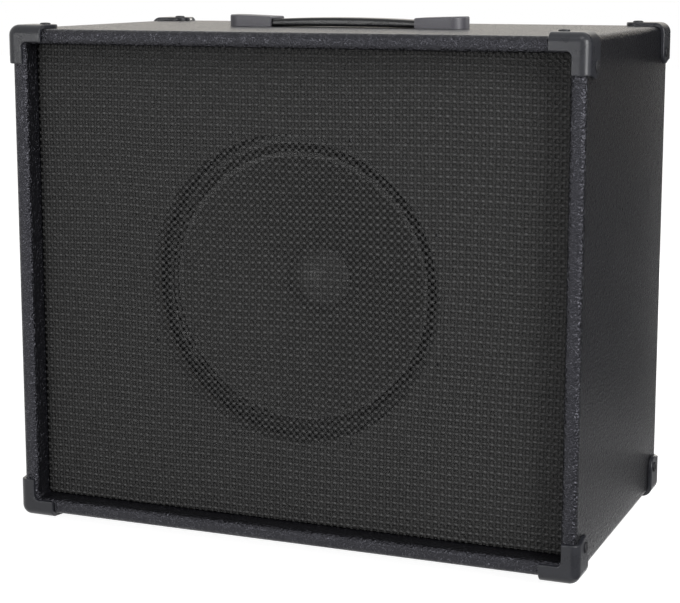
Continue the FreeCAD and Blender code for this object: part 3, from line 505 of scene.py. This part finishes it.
# Magnet: a pressed and fired ferrite ring, glued between two zinc plated steel plates
# behind the frame. The back plate carries the pole.

dress(zinc, "magnet_top_plate", "magnet_back_plate")

ferrite = mottled("ferrite", (0.03, 0.03, 0.031), (0.075, 0.075, 0.08),
                  roughness=(0.4, 0.7), scale=600.0, detail=6.0, bump=0.0002)
dress(ferrite, "ferrite_magnet")


# Cone, dust cap and voice coil: pressed paper pulp with a copper winding on a thin former.
# They are glued together and travel as one, and the cap is lacquered.

pulp = mottled("pulp", (0.030, 0.0295, 0.029), (0.076, 0.0742, 0.0715),
               roughness=0.8, scale=650.0, detail=6.0, bump=0.0003)
dress(pulp, "speaker_cone")

lacquer = mottled("lacquer", (0.064, 0.0625, 0.061), (0.098, 0.096, 0.094),
                  roughness=(0.28, 0.42), scale=260.0, detail=4.0, bump=0.0002)
dress(lacquer, "speaker_dust_cap")


def copper_strands(name, low, high, roughness, scale, direction, bump):
    """Copper with a band for each turn of wire or strand of braid."""
    finish = new_finish(name, high, roughness)
    inputs = {"Vector": place(finish), "Scale": scale}
    bands = pattern(finish, "TexWave", "Fac", inputs, bands_direction=direction)
    tint(finish, bands, low, high)
    raise_surface(finish, bands, bump)
    give(finish, "Metallic", 1.0)
    return finish


winding = copper_strands("copper", (0.40, 0.17, 0.07), (0.80, 0.42, 0.22),
                         roughness=0.3, scale=640.0, direction="Y", bump=0.0002)
dress(winding, "voice_coil")


# Surround and spider: pleated rings of treated cloth that hold the cone at its rim and its neck.
# Each is made in sectors; on the loudspeaker the pleats follow the cone while the outer edge stays glued
# down.

cone_low, cone_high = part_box("speaker_cone")
speaker_axis = (cone_low.z + cone_high.z) / 2
rim_shade_from = 0.1305
rim_shade_to = 0.1315
points_per_fold = 16


def pleat_outline(radii, middle, height, folds, thickness):
    """Closed section of a ring: flat edges, and round pleats between the two middle radii."""
    inner, fold_inner, fold_outer, outer = radii
    count = points_per_fold * folds
    front = [(inner, 0.0)]
    for k in range(count + 1):
        share = k / count
        rise = height * math.sin(2 * math.pi * folds * share)
        front.append((fold_inner + (fold_outer - fold_inner) * share, rise))
    front.append((outer, 0.0))
    near, far = middle - thickness / 2, middle + thickness / 2
    return [(r, near + rise) for r, rise in front] + [(r, far + rise) for r, rise in reversed(front)]


def round_axis(radius, y, turn):
    """A point at a radius from the loudspeaker's axis, and at a share of a turn round it."""
    a = 2 * math.pi * turn
    return radius * math.cos(a), y, speaker_axis + radius * math.sin(a)


def pleated_ring(name, node, finish, radii, middle, height, folds, thickness, sectors, steps):
    """Sectors of a ring round the loudspeaker's axis."""
    outline = pleat_outline(radii, middle, height, folds, thickness)
    for number in range(sectors):
        bm = bmesh.new()
        ribs = []
        for k in range(steps + 1):
            turn = (number + k / steps) / sectors
            ribs.append([bm.verts.new(round_axis(r, y, turn)) for r, y in outline])
        bridge(bm, ribs)
        sector = new_piece(f"{name}_{number + 1:02d}", bm, finish, sharp=math.radians(60))
        turn = (number + 0.5) / sectors
        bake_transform(sector)
        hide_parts(node)


doped = new_finish("doped", (0.06, 0.059, 0.058), 0.35)
spot = place(doped)
rise = calc(doped, "SUBTRACT", coordinate(doped, spot, "Z"), speaker_axis)
square = calc(doped, "POWER", coordinate(doped, spot, "X"), 2.0)
square = calc(doped, "MULTIPLY_ADD", rise, rise, square)
# Painted shade: the surround's outer flat rim, in the shade of the baffle's cut-out wall, is painted near
# black.
painted_rim_shade = step(doped, calc(doped, "SQRT", square), rim_shade_from, rim_shade_to)
weft = noise(doped, spot, 1100.0, 3.0)
coat = calc(doped, "MULTIPLY", calc(doped, "SUBTRACT", 1.0, painted_rim_shade), between(doped, weft, 0.6, 1.0))
tint(doped, coat, (0.006, 0.006, 0.006), (0.080, 0.0784, 0.0768))
raise_surface(doped, weft, 0.0002)
give(doped, "Roughness", between(doped, weft, 0.22, 0.40))
pleated_ring("surround", "speaker_surround", doped,
             radii=(0.1185, 0.123, 0.1307, 0.1393), middle=-0.11455, height=0.002, folds=2,
             thickness=0.0007, sectors=24, steps=5)

varnished = mottled("varnished", (0.36, 0.22, 0.07), (0.66, 0.46, 0.20),
                    roughness=0.6, scale=1400.0, detail=3.0, bump=0.0002)
pleated_ring("spider", "speaker_spider", varnished,
             radii=(0.0228, 0.0252, 0.0497, 0.0657), middle=-0.0585, height=0.0018, folds=4,
             thickness=0.0006, sectors=12, steps=8)


# Terminal strip, tabs and tinsel leads: a phenolic board with brass tabs, and two braids of flat copper
# threads that run from the tabs to the cone in a loose bend, so they flex with it.

phenolic = mottled("phenolic", (0.17, 0.08, 0.035), (0.34, 0.18, 0.09),
                   roughness=(0.4, 0.6), scale=1.0, detail=4.0, stretch=(60, 60, 500))
dress(phenolic, "terminal_strip")

brass = mottled("brass", (0.55, 0.44, 0.22), (0.82, 0.72, 0.46),
                roughness=(0.2, 0.45), scale=300.0, detail=4.0, metallic=1.0)
dress(brass, "terminal_tabs")


def cord_curve(name, route, radius, finish):
    """A round cord on a smooth line that its route's points steer."""
    curve = bpy.data.curves.new(name, "CURVE")
    curve.dimensions = "3D"
    line = curve.splines.new("NURBS")
    line.points.add(len(route) - 1)
    for point, spot in zip(line.points, route):
        point.co = (*spot, 1)
    line.order_u = 3
    line.use_endpoint_u = True
    line.resolution_u = 16
    curve.bevel_depth = radius
    curve.bevel_resolution = 5
    curve.use_fill_caps = True
    curve.materials.append(finish)
    cord = bpy.data.objects.new(name, curve)
    scene.collection.objects.link(cord)
    return cord


braid = copper_strands("braid", (0.30, 0.14, 0.07), (0.74, 0.44, 0.26),
                       roughness=0.4, scale=420.0, direction="DIAGONAL", bump=0.0003)
tinsel_radius = 0.0007
tinsel_offset = 0.009
tinsel_route = [(-0.0546, 0.162), (-0.0626, 0.162), (-0.0758, 0.1764), (-0.0829, 0.180)]
for end, side in (("left", -1), ("right", 1)):
    route = [(side * tinsel_offset, y, z) for y, z in tinsel_route]
    formed = cord_curve("tinsel_form", route, tinsel_radius, braid)
    tinsel = bpy.data.objects.new("tinsel_lead_" + end, shaped_mesh(formed))
    bpy.data.objects.remove(formed)
    scene.collection.objects.link(tinsel)
    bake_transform(tinsel)
    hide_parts("tinsel_leads")


# Loudspeaker leads: a red and a black wire from the jack's lugs to the terminal tabs, each with
# a soft boot pushed over its tab. They hang in a loose bend below the magnet.

lead_radius = 0.0015
lead_route = [(0.009, -0.0542, 0.1335), (0.009, -0.0542, 0.1095), (0.012, -0.0362, 0.0815),
              (0.014, -0.0002, 0.0655), (0.011, 0.053, 0.075), (0.006, 0.085, 0.101), (0.006, 0.111, 0.101)]
boot_squareness = 0.6
boot_corners = 24
boot_sections = [(0.0, 0.0020, 0.0018), (0.0025, 0.0032, 0.0023), (0.005, 0.0045, 0.0025),
                 (0.018, 0.0045, 0.0025), (0.0194, 0.0043, 0.0023), (0.02, 0.0037, 0.0017)]


def soft_boot(name, finish, foot):
    """A sleeve with rounded sides that stands on the end of a wire and widens to take its tab."""
    bm = bmesh.new()
    loops = []
    for height, half_x, half_y in boot_sections:
        loop = []
        for k in range(boot_corners):
            a = 2 * math.pi * k / boot_corners
            c, s = [math.copysign(abs(v) ** boot_squareness, v) for v in (math.cos(a), math.sin(a))]
            loop.append(bm.verts.new((foot[0] + half_x * c, foot[1] + half_y * s, foot[2] + height)))
        loops.append(loop)
    bridge(bm, loops)
    bm.faces.new(loops[0])
    bm.faces.new(loops[-1])
    return new_piece(name, bm, finish, sharp=math.radians(50))


for colour, side, low, high in (("red", -1, (0.36, 0.012, 0.012), (0.52, 0.03, 0.03)),
                                ("black", 1, (0.010, 0.010, 0.010), (0.024, 0.024, 0.024))):
    sleeve = mottled(colour + "_sleeve", low, high, roughness=(0.35, 0.55), scale=500.0, detail=3.0)
    route = [(side * x, y, z) for x, y, z in lead_route]
    lead = cord_curve("lead_" + colour, route, lead_radius, sleeve)
    boot = soft_boot("lead_boot_" + colour, sleeve, route[0])
    for piece in (lead, boot):
        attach(piece, "cabinet")
        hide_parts("speaker_lead_" + colour)


# Back panels: plywood painted black with a roller, screwed to the rear battens through cup washers,
# with an open gap between the upper and the lower one.

black_plywood = new_finish("black_plywood", (0.022, 0.022, 0.022), 0.7)
roller = noise(black_plywood, place(black_plywood), 520.0, 4.0)
figure = noise(black_plywood, place(black_plywood, (8, 260, 260)), 1.0, 4.0)
coat = calc(black_plywood, "MULTIPLY_ADD", figure, 0.5, calc(black_plywood, "MULTIPLY", roller, 0.5))
tint(black_plywood, coat, (0.012, 0.012, 0.012), (0.036, 0.036, 0.035))
raise_surface(black_plywood, coat, 0.0004)
give(black_plywood, "Roughness", between(black_plywood, roller, 0.55, 0.85))
dress(black_plywood, "upper_back_panel", "lower_back_panel")
dress(black_oxide, "cup_washers")
drive_screws("back_screws", black_oxide)


# Jack plate: a pressed steel plate with wrinkle paint in the lower back panel. The jack is held in it
# by a nickel nut, and its brass lugs take the leads inside.

plate_paint = mottled("plate_paint", (0.012, 0.012, 0.013), (0.032, 0.032, 0.034),
                      roughness=0.5, scale=1200.0, detail=3.0, bump=0.0003)
dress(plate_paint, "jack_plate")

nickel = mottled("nickel", (0.60, 0.57, 0.52), (0.76, 0.74, 0.70),
                 roughness=(0.14, 0.3), scale=400.0, detail=3.0, metallic=1.0)
dress(nickel, "jack_nut")
dress(brass, "jack_lugs")

socket_plastic = mottled("socket_plastic", (0.010, 0.010, 0.011), (0.024, 0.024, 0.026),
                         roughness=(0.32, 0.5), scale=800.0, detail=3.0)
dress(socket_plastic, "jack_socket")


# Corner protectors: moulded satin black plastic that wraps each corner and its edges.
# Each is held by two screws with black heads.

moulded = mottled("moulded", (0.013, 0.0135, 0.0165), (0.022, 0.023, 0.028),
                  roughness=(0.22, 0.36), scale=90.0, detail=4.0)
raise_surface(moulded, noise(moulded, place(moulded), 1600.0, 2.0), 0.00008)
give(moulded, "Specular IOR Level", 0.32)
dress(moulded, *[name for name in nodes if name.startswith("corner_") and name != "corner_screws"])
drive_screws("corner_screws", black_oxide)


# Handle: a moulded strap on a spring steel core, with its ends in two moulded caps that are screwed
# to the top. Strap and core are made in halves with a small fixed bow up between the caps.

cap_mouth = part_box("handle_end_cap_right")[0].x
strap_low, strap_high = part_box("handle_strap")
core_low, core_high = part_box("handle_strap_core")
strap_bow = 0.0018
strap_edge = 0.0026
strap_crown = 0.0003
strap_under_share = 0.25
core_edge = 0.0003
core_crown = 0.0
core_under_share = 1.0
band_steps = 40
edge_steps = 8


def band_section(size, edge, crown):
    """Outline of a band across its length, with rounded edges and a crowned top."""
    half_width = size.y / 2
    half_height = (size.z - strap_bow) / 2
    outline = []
    for side_y, side_z, start in ((1, 1, 0), (-1, 1, 90), (-1, -1, 180), (1, -1, 270)):
        for k in range(edge_steps + 1):
            a = math.radians(start + 90 * k / edge_steps)
            y = side_y * (half_width - edge) + edge * math.cos(a)
            z = side_z * (half_height - edge) + edge * math.sin(a)
            drop = crown * (y / half_width) ** 2 if z > 0 else 0.0
            outline.append((y, z - drop))
    return outline


def bowed_band(name, finish, side, low, high, edge, crown, under_share):
    """Half of a band, from the handle's middle out to one end. Its underside takes a share of the bow."""
    section = band_section(high - low, edge, crown)
    middle = (low.z + high.z - strap_bow) / 2
    bm = bmesh.new()
    loops = []
    for k in range(band_steps + 1):
        x = high.x * k / band_steps
        rise = strap_bow * max(0.0, 1 - (x / cap_mouth) ** 2)
        heights = [middle + z + rise * (1 if z > 0 else under_share) for _, z in section]
        loops.append([bm.verts.new((side * x, y, height)) for (y, _), height in zip(section, heights)])
    bridge(bm, loops)
    bm.faces.new(loops[-1])
    half = new_piece(name, bm, finish, sharp=math.radians(50))
    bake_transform(half)
    return half


cap_plastic = mottled("cap_plastic", (0.055, 0.053, 0.062), (0.088, 0.086, 0.098),
                      roughness=(0.34, 0.5), scale=1300.0, detail=3.0, bump=0.00015)
dress(cap_plastic, "handle_end_cap_left", "handle_end_cap_right")

strap_vinyl = mottled("strap_vinyl", (0.006, 0.006, 0.007), (0.011, 0.011, 0.012),
                      roughness=(0.22, 0.36), scale=1.0, detail=3.0, stretch=(60, 420, 420), bump=0.00012)
give(strap_vinyl, "Specular IOR Level", 0.3)

spring_steel = mottled("spring_steel", (0.24, 0.25, 0.28), (0.42, 0.43, 0.45),
                       roughness=0.35, scale=1.0, detail=3.0, stretch=(30, 900, 900), metallic=1.0)

for end, side in (("left", -1), ("right", 1)):
    strap = bowed_band("strap_" + end, strap_vinyl, side, strap_low, strap_high,
                       strap_edge, strap_crown, strap_under_share)
    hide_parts("handle_strap")
    core = bowed_band("strap_core_" + end, spring_steel, side, core_low, core_high,
                      core_edge, core_crown, core_under_share)
    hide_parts("handle_strap_core")
drive_screws("handle_screws", black_oxide)


# Feet: buttons of black rubber, moulded with a recess for the screw.
# One screw each holds them to the bottom, and the cabinet stands on their rims.

rubber = mottled("rubber", (0.012, 0.012, 0.012), (0.03, 0.03, 0.029),
                 roughness=0.8, scale=300.0, detail=4.0, bump=0.0002)
dress(rubber, *[name for name in nodes if name.startswith("rubber_foot_")])
drive_screws("foot_screws", zinc)


# Studio: a pale paper floor and a white surround, with soft boxes in front, above and at both sides,
# a low one and a weak warm one behind, and a grey card beside the cabinet that keeps its right side dark.

floor_half = 8.0
floor_glow = 0.92
backdrop_light = 0.3
card_x = (0.28, 1.0)
card_bend = [(-0.35, 0.002), (0.25, 0.002), (0.25, 0.8)]
card_fade = 0.1


def seen_directly(finish):
    """1 where the camera looks at a surface, straight, through glass or in a gloss, and 0 elsewhere."""
    straight = pattern(finish, "LightPath", "Is Camera Ray", {})
    through = pattern(finish, "LightPath", "Is Transmission Ray", {})
    mirrored = pattern(finish, "LightPath", "Is Glossy Ray", {})
    return calc(finish, "MAXIMUM", calc(finish, "MAXIMUM", straight, through), mirrored)


paper = mottled("paper", (0.35, 0.35, 0.35), (0.37, 0.37, 0.37), roughness=0.9, scale=220.0, detail=3.0)
give(paper, "Emission Color", (1, 1, 1, 1))
give(paper, "Emission Strength", calc(paper, "MULTIPLY", seen_directly(paper), floor_glow))
bm = bmesh.new()
bmesh.ops.create_grid(bm, x_segments=1, y_segments=1, size=floor_half)
floor = new_piece("floor", bm, paper)

world = bpy.data.worlds.new("studio")
scene.world = world
scene.view_settings.view_transform = "Standard"
world.use_nodes = True
backdrop = world.node_tree.nodes["Background"]
wire((1, 1, 1, 1), backdrop.inputs["Color"])
wire(between(world, seen_directly(world), backdrop_light, 1.0), backdrop.inputs["Strength"])

grey = new_finish("grey", (0.25, 0.25, 0.25), 0.9)
height = coordinate(grey, place(grey), "Z")
# The card is painted pale where it lies on the floor, as a painted stand-in for the lit floor that the
# cabinet's side mirrors, and near black where it stands up, as painted shade in that mirror image.
tint(grey, step(grey, height, 0.0, card_fade), (0.38, 0.38, 0.38), (0.03, 0.03, 0.03))
bm = bmesh.new()
card_edges = [[bm.verts.new((x, y, z)) for x in card_x] for y, z in card_bend]
for here, there in zip(card_edges, card_edges[1:]):
    bm.faces.new((*here, *reversed(there)))
card = new_piece("grey_card", bm, grey)
card.visible_camera = False
card.visible_shadow = False


def soft_box(name, where, aim, size, radiance, colour=(1, 1, 1)):
    """A rectangular lamp that looks evenly bright from the front and doesn't show to the camera."""
    lamp = bpy.data.lights.new(name, "AREA")
    lamp.shape = "RECTANGLE"
    lamp.size, lamp.size_y = size
    lamp.energy = radiance * math.pi * size[0] * size[1]
    lamp.color = colour
    holder = bpy.data.objects.new(name, lamp)
    scene.collection.objects.link(holder)
    holder.location = where
    holder.rotation_euler = (Vector(aim) - Vector(where)).to_track_quat("-Z", "Y").to_euler()
    holder.visible_camera = False


soft_box("front", (-0.76, -1.9, 0.46), aim=(0, -0.15, 0.40), size=(0.7, 0.35), radiance=14.5)
soft_box("above", (0.5, -1.0, 1.7), aim=(0, -0.15, 0.40), size=(0.9, 0.6), radiance=3.5)
soft_box("left", (-1.6, -1.2, 0.9), aim=(0, 0, 0.25), size=(1.2, 1.6), radiance=0.2)
soft_box("right", (1.75, -0.9, 0.8), aim=(0, 0, 0.25), size=(0.8, 1.2), radiance=12.5)
soft_box("rear", (-0.25, 1.7, 0.24), aim=(-0.05, 0, 0.24), size=(0.8, 0.36), radiance=5.0)
soft_box("warm", (-0.9, 3.0, 0.6), aim=(0, 0, 0.4), size=(2.6, 1.2), radiance=0.22, colour=(1, 0.60, 0.0))


# Camera: at the photograph's place, a little above the cabinet's top and to the right of its front.
# It looks down on the cabinet, and the picture is moved a little on the sensor.

lens_pixels = 1782.845
photo_width = 680
sensor_width = 36.0
picture_shift = -0.05
eye_place = (0.6333, -1.5763, 0.5228)
look_down = math.radians(9.458)
turn_left = math.radians(22.128)
camera = bpy.data.cameras.new("camera")
camera.sensor_width = sensor_width
camera.lens = lens_pixels / photo_width * sensor_width
camera.shift_y = picture_shift
eye = bpy.data.objects.new("camera", camera)
scene.collection.objects.link(eye)
eye.location = eye_place
eye.rotation_euler = (math.pi / 2 - look_down, 0, turn_left)
scene.camera = eye
